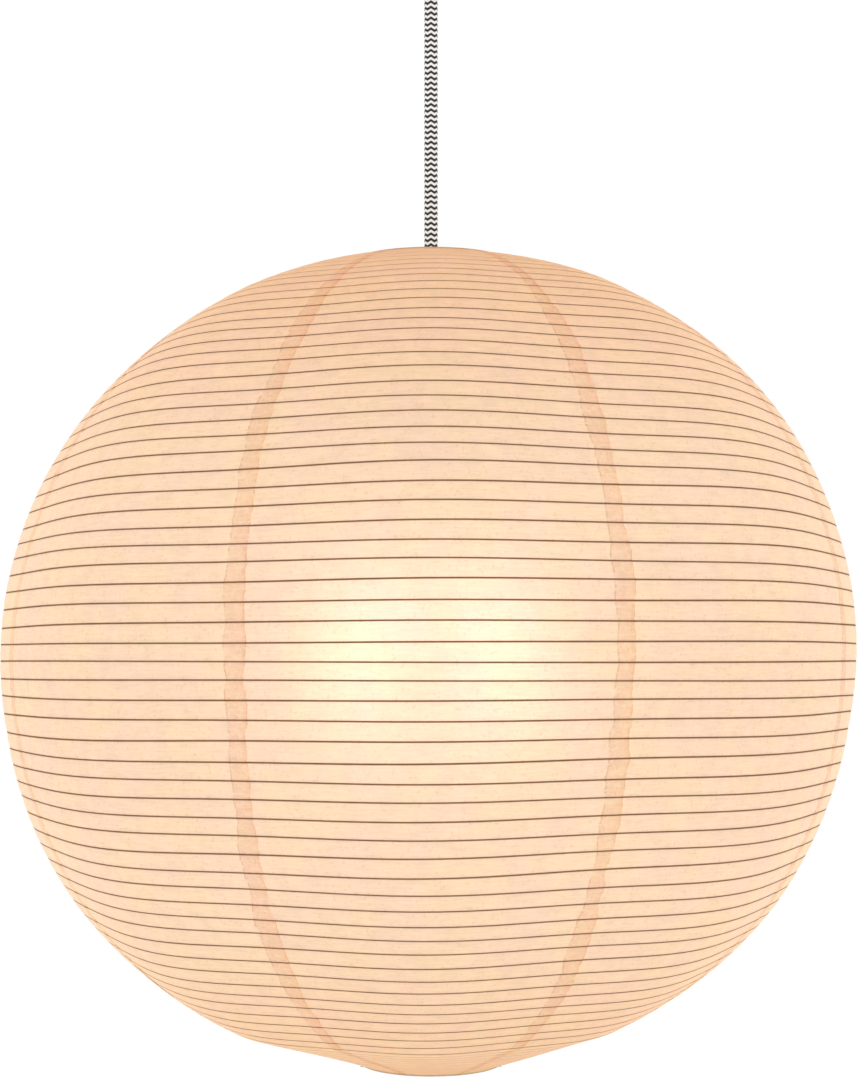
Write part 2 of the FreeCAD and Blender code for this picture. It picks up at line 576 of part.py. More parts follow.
def make_rib():
    up, down = profile_lengths()
    pitch = size("rib_pitch")
    strip = size("rib_strip")
    half_diagonal = strip * math.sqrt(0.5)
    inset = size("paper") + size("glue_gap") + half_diagonal
    turns = []
    margin = size("ring_wire") + strip
    for step in range(-int((down - margin) / pitch), int((up - margin) / pitch) + 1):
        r, z, inward_r, inward_z = profile_point(step * pitch)
        middle_r = r + inset * inward_r
        base = FreeCAD.Vector(0, 0, z + inset * inward_z - size("drop") - strip / 2)
        outer = Part.makeCylinder(middle_r + strip / 2, strip, base)
        turns.append(outer.cut(Part.makeCylinder(middle_r - strip / 2, strip, base)))
    print("rib turns", len(turns))
    computed("spiral_rib", Part.makeCompound(turns))


make_bracket()
make_canopy()
make_canopy_screws()
make_gland()
make_wiring()
make_flex()
make_lampholder()
make_shade_ring()
make_bulb()
make_stretcher()
make_rings()
for number in range(1, int(size("gores")) + 1):
    make_gore(number)
make_rib()
doc.recompute()

for thing in doc.Objects:
    broken = {"Invalid", "Error"} & set(thing.State)
    if broken:
        raise RuntimeError(f"{thing.Label} is {', '.join(broken)}")
for piece in PARTS:
    if piece.Shape.isNull() or not piece.Shape.isValid() or not piece.Shape.Solids:
        raise RuntimeError(f"{piece.Label} has no valid solid")
for piece in PARTS:
    piece.Shape.exportStep(f"parts/{piece.Label}.step")
    print(f"{piece.Label:24s} solids {len(piece.Shape.Solids):3d}  volume {piece.Shape.Volume:11.1f}")
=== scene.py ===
import math

import bpy
import numpy as np
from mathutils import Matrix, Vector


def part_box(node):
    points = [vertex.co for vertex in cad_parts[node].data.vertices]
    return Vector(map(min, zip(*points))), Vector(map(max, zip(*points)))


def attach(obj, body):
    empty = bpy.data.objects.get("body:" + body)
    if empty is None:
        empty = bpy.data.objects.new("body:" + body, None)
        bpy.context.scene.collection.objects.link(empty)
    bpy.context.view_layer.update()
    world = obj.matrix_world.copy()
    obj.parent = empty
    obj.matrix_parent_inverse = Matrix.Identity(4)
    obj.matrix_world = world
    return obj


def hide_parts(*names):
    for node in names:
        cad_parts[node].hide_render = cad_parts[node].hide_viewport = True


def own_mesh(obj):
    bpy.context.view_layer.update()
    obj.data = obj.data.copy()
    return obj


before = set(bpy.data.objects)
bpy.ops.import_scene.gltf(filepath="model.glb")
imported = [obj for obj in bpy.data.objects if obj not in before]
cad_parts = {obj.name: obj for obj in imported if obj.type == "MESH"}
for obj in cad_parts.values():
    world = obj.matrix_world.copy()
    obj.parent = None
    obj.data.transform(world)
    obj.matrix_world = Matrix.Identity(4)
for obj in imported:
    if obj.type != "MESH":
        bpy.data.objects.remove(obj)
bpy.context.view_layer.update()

DROP = 0.440  # ceiling to the widest level of the shade

# Studio: a level camera a little over a metre in front of the shade, an even pale room all
# round, and a pale floor a long way below the hanging lantern.
eye = bpy.data.objects.new("camera", bpy.data.cameras.new("camera"))
bpy.context.scene.collection.objects.link(eye)
bpy.context.scene.camera = eye
eye.location = (0, -1.083, -DROP)
eye.rotation_euler = (math.pi / 2, 0, 0)
eye.data.lens = 66.95
eye.data.shift_x = -0.0014
eye.data.shift_y = 0.1121

room = bpy.data.worlds.new("room")
bpy.context.scene.world = room
room.use_nodes = True
room.node_tree.nodes["Background"].inputs["Color"].default_value = (1, 1, 1, 1)
room.node_tree.nodes["Background"].inputs["Strength"].default_value = 1.0
bpy.context.scene.view_settings.view_transform = "Standard"


def add_piece(name, points, faces):
    """A smooth-shaded mesh object from an array of points and a list of faces."""
    mesh = bpy.data.meshes.new(name)
    mesh.from_pydata(np.asarray(points, float).tolist(), [], faces)
    mesh.shade_smooth()
    made = bpy.data.objects.new(name, mesh)
    bpy.context.scene.collection.objects.link(made)
    return made


def add_node(tree, kind, inputs=(), **settings):
    """A shader node. An input's value is a number, a colour or another node's output."""
    made = tree.nodes.new("ShaderNode" + kind)
    for name, value in settings.items():
        setattr(made, name, value)
    for key, value in dict(inputs).items():
        if isinstance(value, bpy.types.NodeSocket):
            tree.links.new(value, made.inputs[key])
        else:
            made.inputs[key].default_value = value
    return made


def add_material(name, sockets):
    """A material with one Principled shader, with the given sockets set on it."""
    made = bpy.data.materials.new(name)
    made.use_nodes = True
    shader = made.node_tree.nodes["Principled BSDF"]
    for key, value in sockets.items():
        shader.inputs[key].default_value = value
    return made, made.node_tree, shader


floor_reach = 6.0
floor_level = -1.5
floor_plan = ((-1, -1), (1, -1), (1, 1), (-1, 1))
floor = add_piece("floor", [(floor_reach * x, floor_reach * y, floor_level) for x, y in floor_plan],
                  [(0, 1, 2, 3)])
floor_paint = add_material("floor_paint", {
    "Base Color": (0.9, 0.9, 0.9, 1), "Roughness": 0.9,
    "Emission Color": (1, 1, 1, 1), "Emission Strength": 0.12})[0]
floor.data.materials.append(floor_paint)


# Flex: a round textile cord, braided in black and white zigzag rows over three cores. It runs
# straight and taut from the lampholder's grip up into the ceiling cup's gland.
flex_width = 0.0072
flex_low = -0.336
flex_top = -0.069
flex_route = [(0, 0, flex_low), (0, 0, -0.27), (0, 0, -0.13), (0, 0, flex_top)]
braid_row = 0.0029  # height of one black and one white row together
braid_waves = 6  # zigzags round the cord
braid_rise = 0.0011  # height of a zigzag
braid_groove = 0.00012
braid_step = 0.001  # height in which the mesh has two rings of points
braid_sides = 48


def smooth_route(name, points):
    """The points of the smooth curve whose control points are the route."""
    curve = bpy.data.curves.new(name, "CURVE")
    curve.dimensions = "3D"
    spline = curve.splines.new("NURBS")
    spline.points.add(len(points) - 1)
    for control, point in zip(spline.points, points):
        control.co = (*point, 1)
    spline.order_u = 3
    spline.use_endpoint_u = True
    carrier = bpy.data.objects.new(name, curve)
    mesh = bpy.data.meshes.new_from_object(carrier)
    line = np.array([vertex.co for vertex in mesh.vertices])
    bpy.data.objects.remove(carrier)
    return line


def grid_faces(rows, columns, closed=False):
    """Quads of a grid of points, row after row. closed joins the last column to the first."""
    row, column = np.meshgrid(np.arange(rows - 1), np.arange(columns - 1 + closed), indexing="ij")
    beside = (column + 1) % columns
    corners = (row * columns + column, row * columns + beside,
               (row + 1) * columns + beside, (row + 1) * columns + column)
    return np.stack(corners, axis=-1).reshape(-1, 4).tolist()


def add_uv(piece, name, across, along):
    """A UV map from one value per point across and along the piece."""
    mesh = piece.data
    layer = mesh.uv_layers.new(name=name)
    corner = np.zeros(len(mesh.loops), np.int32)
    mesh.loops.foreach_get("vertex_index", corner)
    across, along = across.ravel()[corner], along.ravel()[corner]
    layer.data.foreach_set("uv", np.stack([across, along], 1).ravel())


def braided_tube(name, low, top):
    """A round braided cord on the vertical axis, closed at its seam and at both ends. Its radius is
    the cord's, less a shallow groove that grows with the distance from the middle of a strand, and
    the strands climb round it. The UV map counts turns round and metres up."""
    rows = 2 * round((top - low) / braid_step) + 1
    sides = braid_sides
    height = np.linspace(low, top, rows)[:, None]
    turn = np.arange(sides)[None, :] / sides
    strand = np.abs(((height / braid_row * 2 + turn * braid_waves * 2) % 1) - 0.5)
    radius = flex_width / 2 - braid_groove * strand
    points = np.stack(np.broadcast_arrays(radius * np.sin(2 * np.pi * turn),
                                          -radius * np.cos(2 * np.pi * turn), height), axis=-1)
    rim = list(range(sides))
    faces = grid_faces(rows, sides, closed=True)
    faces += [rim[::-1], [(rows - 1) * sides + corner for corner in rim]]
    made = add_piece(name, points.reshape(-1, 3), faces)
    column = np.tile(rim, rows - 1)[:, None] + [0, 1, 1, 0]
    row = np.repeat(np.arange(rows - 1), sides)[:, None] + [0, 0, 1, 1]
    across = np.concatenate([column.ravel(), rim[::-1], rim]) / sides
    along = np.concatenate([height[row.ravel(), 0], np.full(sides, low), np.full(sides, top)])
    layer = made.data.uv_layers.new(name="braid")
    layer.data.foreach_set("uv", np.stack([across, along], 1).ravel())
    made.data.materials.append(braid)
    return made


braid, tree, shader = add_material("braid", {"Roughness": 0.85, "Sheen Weight": 0.15,
                                             "Sheen Roughness": 0.4, "Specular IOR Level": 0.25})
place = add_node(tree, "UVMap", uv_map="braid").outputs[0]
split = add_node(tree, "SeparateXYZ", {0: place})
wave = add_node(tree, "Math", {0: split.outputs[0], 1: float(braid_waves)}, operation="MULTIPLY")
zigzag = add_node(tree, "Math", {0: wave.outputs[0], 1: 0.5}, operation="PINGPONG")
drop_by = add_node(tree, "Math", {0: zigzag.outputs[0], 1: 2 * braid_rise}, operation="MULTIPLY")
level = add_node(tree, "Math", {0: split.outputs[1], 1: drop_by.outputs[0]}, operation="ADD")
rows = add_node(tree, "Math", {0: level.outputs[0], 1: braid_row}, operation="DIVIDE")
share = add_node(tree, "Math", {0: rows.outputs[0]}, operation="FRACT")
edge = add_node(tree, "Math", {0: share.outputs[0], 1: 0.5}, operation="SUBTRACT")
away = add_node(tree, "Math", {0: edge.outputs[0]}, operation="ABSOLUTE")
black = add_node(tree, "MapRange", {"Value": away.outputs[0], "From Min": 0.215, "From Max": 0.285,
                                    "To Min": 1.0, "To Max": 0.0})
spot = add_node(tree, "TexCoord").outputs["Object"]
fuzz = add_node(tree, "TexNoise", {"Vector": spot, "Scale": 2600.0, "Detail": 2.0})
white_yarn = add_node(tree, "MixRGB", {0: fuzz.outputs[0], 1: (0.80, 0.80, 0.79, 1),
                                       2: (1.0, 1.0, 0.99, 1)})
black_yarn = add_node(tree, "MixRGB", {0: fuzz.outputs[0], 1: (0.012, 0.012, 0.013, 1),
                                       2: (0.05, 0.05, 0.052, 1)})
yarn = add_node(tree, "MixRGB", {0: black.outputs[0], 1: white_yarn.outputs[0],
                                 2: black_yarn.outputs[0]})
tree.links.new(yarn.outputs[0], shader.inputs["Base Color"])
bump = add_node(tree, "Bump", {"Height": fuzz.outputs[0], "Strength": 0.35, "Distance": 0.0002})
tree.links.new(bump.outputs[0], shader.inputs["Normal"])
flex_line = smooth_route("flex_route", flex_route)
flex = braided_tube("flex_braid", flex_low, flex_top)
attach(flex, "pendant")
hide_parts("flex")
tail = braided_tube("flex_tail_braid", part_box("flex_tail")[0][2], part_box("flex_tail")[1][2])
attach(tail, "ceiling_fitting")
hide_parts("flex_tail")


# Paper gores: eight sheets of mulberry paper, cut to a boat shape and glued edge over edge on
# the rib. The top and bottom edges fold over the shade's wire rings and turn in as a hem. The
# bottom hem is a piece of its own, which goes up with its ring when the shade is folded flat.
wide = 0.2254  # radius at the widest level
top_edge = (0.0450, 0.2132)  # radius and height above the widest level, as in the next four
shoulder = (0.1110, -0.1901)
low_edge = (0.0391, -0.2150)
top_ring = (0.04295, 0.2126)
low_ring = (0.03705, -0.2144)
hem = 0.007
wrap = 0.00195  # radius at which the paper goes round a ring's wire
wrap_start = math.atan2(0.6, 2.05)  # angle at which it meets the wire
gores = 8
pitch = 0.00885  # from one turn of the rib to the next
rib_margin = 0.006  # paper past the rib at each end
glue_width = 0.0092
full_lap_radius = 0.18  # nearer the rings than this the laps narrow
least_lap = 0.45
paper_lift = 0.00022
lobe = 0.008  # share of the radius
gather = 0.015  # share of the height
gather_end = 0.216  # level at which it has faded out
ring_hold = 0.047  # radius up to which the rings keep the plan round
ring_fade = 0.060
lift_radius = 0.1  # nearer the rings than this the puffs flatten
full_levels = (-0.215, -0.203, -0.190, -0.129, -0.100, -0.070, -0.035,
               0.0, 0.035, 0.090, 0.150, 0.192, 0.202, 0.213)
full_steps = (0, 0.0006, 0.0019, 0.0018, 0.0004, -0.0007, -0.0012,
              0, 0.0010, 0.0013, 0.0014, 0.0016, 0.0003, 0)
edge_wander = 0.00075
slack = 0.00018
lean_offset, lean_slope = -0.0011, 0.0035
tilt_slope = 0.011


def arc_centre(end):
    """Where on the widest level the centre of the arc from the widest point to end lies."""
    return (wide ** 2 - end[0] ** 2 - end[1] ** 2) / (2 * (wide - end[0]))


upper_centre = arc_centre(top_edge)
lower_centre = arc_centre(shoulder)
upper_length = (wide - upper_centre) * math.asin(top_edge[1] / (wide - upper_centre))
lower_length = (wide - lower_centre) * math.asin(-shoulder[1] / (wide - lower_centre))
cone_length = math.hypot(shoulder[0] - low_edge[0], shoulder[1] - low_edge[1])
wrap_length = wrap * (math.pi - wrap_start)


def shade_profile(along):
    """Radius and height above the widest level, at a length along the paper from that level. Two
    arcs meet there; below the shoulder it is a cone; past each edge it goes round the ring's wire
    at the wrap's radius and then straight on as the hem."""
    def arc(centre, length):
        """Along the arc by an angle of length over radius, by cosine out and by sine up."""
        radius = wide - centre
        return centre + radius * np.cos(length / radius), radius * np.sin(length / radius)

    def round_ring(ring, past, side):
        """Round the wire by an angle of length over radius, then straight on."""
        angle = np.clip(wrap_start + past / wrap, wrap_start, math.pi)
        beyond = np.maximum(past - wrap_length, 0)
        return ring[0] + wrap * np.cos(angle), ring[1] + side * (wrap * np.sin(angle) - beyond)

    down = -along - lower_length
    step = np.clip(down / cone_length, 0, 1)
    cone = (shoulder[0] + (low_edge[0] - shoulder[0]) * step,
            shoulder[1] + (low_edge[1] - shoulder[1]) * step)
    above = along - upper_length
    below = down - cone_length
    zones = [above > 0, along >= 0, down <= 0, below <= 0]
    shapes = [round_ring(top_ring, above, 1), arc(upper_centre, along), arc(lower_centre, along),
              cone, round_ring(low_ring, below, -1)]
    return tuple(np.select(zones, [shape[k] for shape in shapes[:4]], shapes[4][k]) for k in (0, 1))


def rib_drift(along, angle):
    """How far the hand-laid rib strays along the paper: three slow sine waves added."""
    return (0.00050 * np.sin(along / 0.0093 + 1.3 * np.sin(angle) + 0.8)
            + 0.00045 * np.sin(along / 0.0230 + 2 * angle)
            + 0.00025 * np.sin(along / 0.0041 + 3 * angle + 1.0))


rib_first = math.ceil(-(lower_length + cone_length - rib_margin) / pitch)
rib_last = math.floor((upper_length - rib_margin) / pitch)


def rib_turn(along, angle):
    """Turns of the rib counted up the shade: a whole number lies on the rib."""
    count = (along + rib_drift(along, angle)) / pitch + angle / (2 * np.pi)
    return np.clip(count, rib_first - 0.5, rib_last + 0.5)


def on_shade(along, angle, lift=0.0):
    """A point of the paper. Angle 0 is the front and grows to the right. The plan is a circle plus
    eight lobes, highest mid-gore and faded out at the rings, and the seams draw the levels in.
    Between turns of the rib the paper puffs out by a sine, and two slow sines make the outline
    waver. A table of small steps fills the outline out. The right side hangs a little higher than
    the left, and the foot a little to the left of the top."""
    radius, level = shade_profile(along)
    free = np.clip((radius - ring_hold) / ring_fade, 0, 1)
    free = free * free * (3 - 2 * free)
    plan = lobe * np.cos(gores * angle)
    puff = slack * (1 - np.cos(2 * np.pi * rib_turn(along, angle))) / 2
    waver = 0.0006 * np.sin(3 * angle + along / 0.05) + 0.0004 * np.sin(5 * angle - along / 0.031)
    fullness = np.interp(level, full_levels, full_steps)
    proud = (puff + waver * free + lift) * np.clip(radius / lift_radius, 0, 1)
    out = radius * (1 + plan * free) + fullness + proud
    rise = level * (1 + gather * free * (1 - (level / gather_end) ** 2) * np.cos(gores * angle) / 2)
    lean = (lean_offset + lean_slope * level) * free
    tilt = tilt_slope * radius * np.sin(angle) * free
    return np.stack(np.broadcast_arrays(out * np.sin(angle) + lean, -out * np.cos(angle),
                                        rise + tilt - DROP), axis=-1)


edge_steps = 800
edge_middle = 300  # the step at the widest level


def rough_edge(count, seed):
    """A torn, hand-pasted edge: random steps four turns of the rib long, one turn and a third of a
    turn, each blended smoothly into the next, added."""
    random = np.random.default_rng(seed)
    total = 0 * count
    for share, spacing in ((0.8, 4.0), (0.6, 1.0), (0.4, 0.33)):
        steps = random.normal(0, 1, edge_steps)
        whole = np.floor(count / spacing)
        part = count / spacing - whole
        part = part * part * (3 - 2 * part)
        cell = whole.astype(int) + edge_middle
        total = total + share * (steps[cell] * (1 - part) + steps[cell + 1] * part)
    return total


# The paper's Emission Strength of 1.0 is painted glow: the paper gives off light of its own, on top
# of the real light the lamp sends through it.
washi, tree, shader = add_material("washi", {
    "Roughness": 0.75, "IOR": 1.32, "Transmission Weight": 0.30, "Specular IOR Level": 0.15,
    "Emission Strength": 1.0})


def ramp(value, start, end, low=0.0, high=1.0):
    """A value that goes smoothly from low to high as the input goes from start to end."""
    return add_node(tree, "MapRange", {"Value": value, "From Min": start, "From Max": end,
                                       "To Min": low, "To Max": high},
                    interpolation_type="SMOOTHSTEP").outputs[0]


def math_node(operation, one, other=0.0):
    """The result of one sum on one or two values."""
    return add_node(tree, "Math", {0: one, 1: other}, operation=operation).outputs[0]


def tint(colour, share, by):
    """The colour multiplied by another, in the given share."""
    return add_node(tree, "MixRGB", {0: share, 1: colour, 2: by}, blend_type="MULTIPLY").outputs[0]


split = add_node(tree, "SeparateXYZ", {0: add_node(tree, "UVMap", uv_map="glue").outputs[0]})
cloth = add_node(tree, "UVMap", uv_map="sheet").outputs[0]
along_sheet = add_node(tree, "SeparateXYZ", {0: cloth}).outputs[1]
spot = add_node(tree, "TexCoord").outputs["Object"]
# Painted shadow: a dark brown line on the paper where the rib lies under it, the rib's shadow from
# the bulb's light, fading out near both rims.
off_rib = math_node("SUBTRACT", math_node("FRACT", math_node("ADD", split.outputs[1], 0.5)), 0.5)
gap = math_node("ABSOLUTE", off_rib)
rib_shadow_fade = math_node("MULTIPLY", ramp(along_sheet, 0.17, 0.30, 1.0, 0.15),
                     ramp(along_sheet, -0.30, -0.21, 0.2, 1.0))
rib_shadow = math_node("MULTIPLY", ramp(gap, 0.020, 0.062, 1.0, 0.0), rib_shadow_fade)
long_fibre = add_node(tree, "Mapping", {"Vector": cloth, "Scale": (90.0, 900.0, 1.0)})
fibre = add_node(tree, "TexNoise", {"Vector": long_fibre.outputs[0], "Scale": 1.0, "Detail": 4.0,
                                    "Roughness": 0.65, "Distortion": 0.6}, noise_dimensions="2D")
blotch = add_node(tree, "TexNoise", {"Vector": spot, "Scale": 130.0, "Detail": 3.0,
                                     "Roughness": 0.6})
cloud = add_node(tree, "TexNoise", {"Vector": spot, "Scale": 40.0, "Detail": 3.0,
                                    "Roughness": 0.55})
wrinkle = add_node(tree, "TexNoise", {"Vector": spot, "Scale": 260.0, "Detail": 3.0,
                                      "Roughness": 0.6, "Distortion": 1.2})
in_glue = math_node("MULTIPLY", ramp(split.outputs[0], -1.12, -0.96),
                    ramp(wrinkle.outputs[0], 0.36, 0.60, 0.45, 1.15))
left_line = ramp(math_node("ABSOLUTE", math_node("ADD", split.outputs[0], 1.03)),
                 0.02, 0.12, 1.0, 0.0)
right_line = ramp(split.outputs[0], 0.90, 0.98)
outline = math_node("MULTIPLY", math_node("ADD", left_line, right_line),
                    ramp(wrinkle.outputs[0], 0.40, 0.60, 0.1, 1.0))
# Painted shade: the paper darkens towards its top, where the lampholder shadows the bulb's light,
# and towards its bottom rim.
painted_shade_top = ramp(along_sheet, 0.05, 0.31)
painted_shade_low = ramp(along_sheet, -0.08, -0.325)
tone = math_node("MULTIPLY", ramp(fibre.outputs[0], 0.3, 0.7, 0.955, 1.03),
                 ramp(blotch.outputs[0], 0.3, 0.7, 0.97, 1.02))
warmth = add_node(tree, "MixRGB", {0: ramp(cloud.outputs[0], 0.35, 0.65), 1: (1.0, 0.975, 0.985, 1),
                                   2: (1.0, 1.0, 0.935, 1)}).outputs[0]
fleck = add_node(tree, "TexNoise", {"Vector": spot, "Scale": 620.0, "Detail": 2.0,
                                    "Roughness": 0.5})
# The paper's colour: its own fibre, cloud and fleck pattern, then the painted shade and the painted
# rib shadow on top.
pattern_and_painted_shade = tint(warmth, 1.0, tone)
pattern_and_painted_shade = tint(pattern_and_painted_shade, ramp(fleck.outputs[0], 0.58, 0.70), (0.955, 0.905, 0.85, 1))
# Painted shade at the top and at the bottom of the paper.
pattern_and_painted_shade = tint(pattern_and_painted_shade, painted_shade_top, (0.88, 0.72, 0.59, 1))
pattern_and_painted_shade = tint(pattern_and_painted_shade, painted_shade_low, (0.86, 0.74, 0.60, 1))
pattern_and_painted_shade = tint(pattern_and_painted_shade, in_glue, (0.945, 0.862, 0.805, 1))
pattern_and_painted_shade = tint(pattern_and_painted_shade, outline, (0.84, 0.76, 0.72, 1))
# Painted shadow of the rib.
pattern_and_painted_shade = tint(pattern_and_painted_shade, rib_shadow, (0.40, 0.26, 0.165, 1))
tree.links.new(tint(pattern_and_painted_shade, 1.0, (0.705, 0.568, 0.468, 1)), shader.inputs["Base Color"])
# Painted glow: the paper's own emission colour, taken from its colour with the painted shade,
# tinted warm.
tree.links.new(tint(pattern_and_painted_shade, 1.0, (0.356, 0.308, 0.255, 1)), shader.inputs["Emission Color"])
bump = add_node(tree, "Bump", {"Height": fibre.outputs[0], "Strength": 0.25, "Distance": 0.0003})
tree.links.new(bump.outputs[0], shader.inputs["Normal"])
lit_side = add_node(tree, "BsdfTranslucent", {"Color": tint(pattern_and_painted_shade, 1.0, (0.925, 0.79, 0.63, 1))})
blend = add_node(tree, "MixShader", {0: 0.5, 1: shader.outputs[0], 2: lit_side.outputs[0]})
tree.links.new(blend.outputs[0], tree.nodes["Material Output"].inputs["Surface"])

rows_per_turn = 8
plain_columns = 23
glued_columns = 4
tuck = 0.0018  # how far a gore reaches in under its neighbour's glued edge
step_start = 0.0008  # a gore starts to rise onto its neighbour this far before the lap's side
step_end = 0.0002  # and has risen this far past it
under_reach, under_fade = 0.0020, 0.0010
under_drop = 0.8  # share of the lift
least_girth = 0.03
first = -(lower_length + cone_length + wrap_length + hem)
last = upper_length + wrap_length + hem
body_rows = np.arange(-(lower_length + cone_length), upper_length, pitch / rows_per_turn)
rim_step = 0.0006
low_rows = np.arange(first, body_rows[0] - rim_step / 2, rim_step)
high_rows = np.append(np.arange(upper_length, last, rim_step), last)
along = np.concatenate([low_rows, body_rows, high_rows])[:, None]
girth = np.maximum(shade_profile(along)[0], least_girth)
lap = np.clip(girth / full_lap_radius, least_lap, 1)
seam_half = np.pi / gores
for number in range(1, gores + 1):
    middle = 2 * np.pi * ((number + 3) % gores - 3) / gores
    seam = middle + seam_half
    before = middle - seam_half
    count = rib_turn(along, seam)
    count_before = rib_turn(along, before)
    half = lap * (glue_width / 2 + edge_wander * rough_edge(count, number))
    number_before = (number - 2) % gores + 1
    half_before = lap * (glue_width / 2 + edge_wander * rough_edge(count_before, number_before))
    inner = lap * edge_wander * rough_edge(count, number + 20)
    tucked = before + (half_before - tuck) / girth
    flat_end = seam - (lap * glue_width / 2 + step_start + inner) / girth
    ramp_end = seam - (lap * glue_width / 2 - step_end + inner) / girth
    free_end = seam + half / girth
    plain = np.linspace(0, 1, plain_columns)[None, :]
    glued = np.linspace(0, 1, glued_columns)[None, :]
    angle = np.concatenate([tucked + (flat_end - tucked) * plain,
                            ramp_end + (free_end - ramp_end) * glued], axis=1)
    from_seam = (angle - seam) * girth
    raised = np.concatenate([0 * plain, 0 * glued + 1], axis=1)
    under = np.clip((under_reach - (angle - tucked) * girth) / under_fade, 0, 1)
    lift = paper_lift * (raised - under_drop * under)
    points = on_shade(along, angle, lift)
    turns = rib_turn(along, angle)
    strip = np.where(from_seam < 0, (from_seam + inner) / (lap * glue_width / 2), from_seam / half)
    across = (angle - middle) * girth
    made = []
    for name, part in (("gore", slice(len(low_rows), None)), ("hem", slice(0, len(low_rows) + 1))):
        piece = add_piece(f"washi_{name}_{number}", points[part].reshape(-1, 3),
                          grid_faces(len(points[part]), angle.shape[1]))
        add_uv(piece, "glue", strip[part], turns[part])
        add_uv(piece, "sheet", across[part], (along + 0 * angle)[part])
        piece.data.materials.append(washi)
        made.append(piece)
    gore, foot_hem = made
    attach(foot_hem, "shade_foot")
    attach(gore, "pendant")
    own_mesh(gore)
    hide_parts(f"paper_gore_{number}")


# Rib: one long split-bamboo strip, wound under the paper in a single spiral from the bottom ring
# to the top ring, and glued to every gore.
strip_deep = 0.0008
strip_tall = 0.0008
strip_gap = 0.00012  # glue between the strip and the paper
steps_per_turn = 112
back_seam = np.pi + seam_half
turn_share = back_seam / (2 * np.pi)
winding = np.linspace(rib_first - turn_share, rib_last + 1 - turn_share,
                      (rib_last - rib_first + 1) * steps_per_turn + 1)
angle = back_seam - (winding * 2 * np.pi + back_seam) % (2 * np.pi)
whole_turn = np.round(winding + angle / (2 * np.pi))
rib_along = (whole_turn - angle / (2 * np.pi)) * pitch
for _ in range(3):
    rib_along = (whole_turn - angle / (2 * np.pi)) * pitch - rib_drift(rib_along, angle)
centre = on_shade(rib_along, angle)
ahead = on_shade(rib_along, angle + 0.001) - centre
up = on_shade(rib_along + 0.0001, angle) - centre
ahead /= np.linalg.norm(ahead, axis=1, keepdims=True)
up -= (up * ahead).sum(1, keepdims=True) * ahead
up /= np.linalg.norm(up, axis=1, keepdims=True)
inward = -np.cross(ahead, up)
section = np.array([(strip_gap, -0.35), (strip_gap, 0.35), (strip_deep * 0.45, 0.5),
                    (strip_deep, 0.35), (strip_deep, -0.35), (strip_deep * 0.45, -0.5)])
rib_points = (centre[:, None] + inward[:, None] * section[None, :, :1]
              + up[:, None] * section[None, :, 1:] * strip_tall)
corners = len(section)
last_end = corners * (len(winding) - 1)
rib_faces = grid_faces(len(winding), corners, closed=True)
rib_faces += [list(range(corners))[::-1], list(range(last_end, last_end + corners))]
rib = add_piece("bamboo_rib", rib_points.reshape(-1, 3), rib_faces)
bamboo, tree, shader = add_material("bamboo", {"Roughness": 0.55, "Specular IOR Level": 0.35})
spot = add_node(tree, "TexCoord").outputs["Object"]
grain = add_node(tree, "TexNoise", {"Vector": spot, "Scale": 60.0, "Detail": 3.0})
cane = add_node(tree, "ValToRGB", {0: grain.outputs[0]})
cane.color_ramp.elements[0].color = (0.20, 0.105, 0.045, 1)
cane.color_ramp.elements[1].color = (0.42, 0.26, 0.12, 1)
cane.color_ramp.elements[0].position = 0.35
cane.color_ramp.elements[1].position = 0.65
tree.links.new(cane.outputs[0], shader.inputs["Base Color"])
rib.data.materials.append(bamboo)
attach(rib, "pendant")
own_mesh(rib)
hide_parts("spiral_rib")


# Wire work: the shade's two rings, the stretcher that holds them apart and the ceiling bracket,
# all of zinc-plated steel, the wire drawn and bent cold and the bracket stamped.
grain_depth = 0.00005


def finish_nodes(material, *names):
    """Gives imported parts, whose shape stays, their finish."""
    for name in names:
        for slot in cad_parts[name].material_slots:
            slot.material = material


def grained(name, dark, light, grain, bump_share=0.3, **sockets):
    """A finish whose colour drifts between two tones with a noise, and whose surface rises with
    it."""
    made, tree, shader = add_material(name, sockets)
    spot = add_node(tree, "TexCoord").outputs["Object"]
    noise = add_node(tree, "TexNoise", {"Vector": spot, "Scale": grain, "Detail": 3.0,
                                        "Roughness": 0.6})
    share = add_node(tree, "MapRange", {"Value": noise.outputs[0], "From Min": 0.35,
                                        "From Max": 0.65})
    tone = add_node(tree, "MixRGB", {0: share.outputs[0], 1: (*dark, 1), 2: (*light, 1)})
    tree.links.new(tone.outputs[0], shader.inputs["Base Color"])
    rise = add_node(tree, "Bump", {"Height": noise.outputs[0], "Strength": bump_share,
                                   "Distance": grain_depth})
    tree.links.new(rise.outputs[0], shader.inputs["Normal"])
    return made


zinc = grained("zinc", (0.50, 0.50, 0.49), (0.68, 0.68, 0.67), 420.0, Metallic=1.0, Roughness=0.34)
finish_nodes(zinc, "ceiling_bracket", "stretcher_leg_left", "stretcher_leg_right",
             "stretcher_spoke_left", "stretcher_spoke_right", "carrier_ring", "top_ring",
             "bottom_ring")


# Ceiling cup: deep-drawn steel with a matt white powder coat, which dries with a fine orange-peel
# skin. Two zinc-plated screws hold it to the bracket's ears.
powder_coat = grained("powder_coat", (0.80, 0.79, 0.77), (0.86, 0.85, 0.83), 900.0, bump_share=0.5,
                      Roughness=0.48)
finish_nodes(powder_coat, "canopy")
screw_zinc = grained("screw_zinc", (0.52, 0.52, 0.50), (0.70, 0.70, 0.68), 1500.0, Metallic=1.0,
                     Roughness=0.28)
finish_nodes(screw_zinc, "canopy_screws", "gland_grub_screw", "holder_grub_screw")


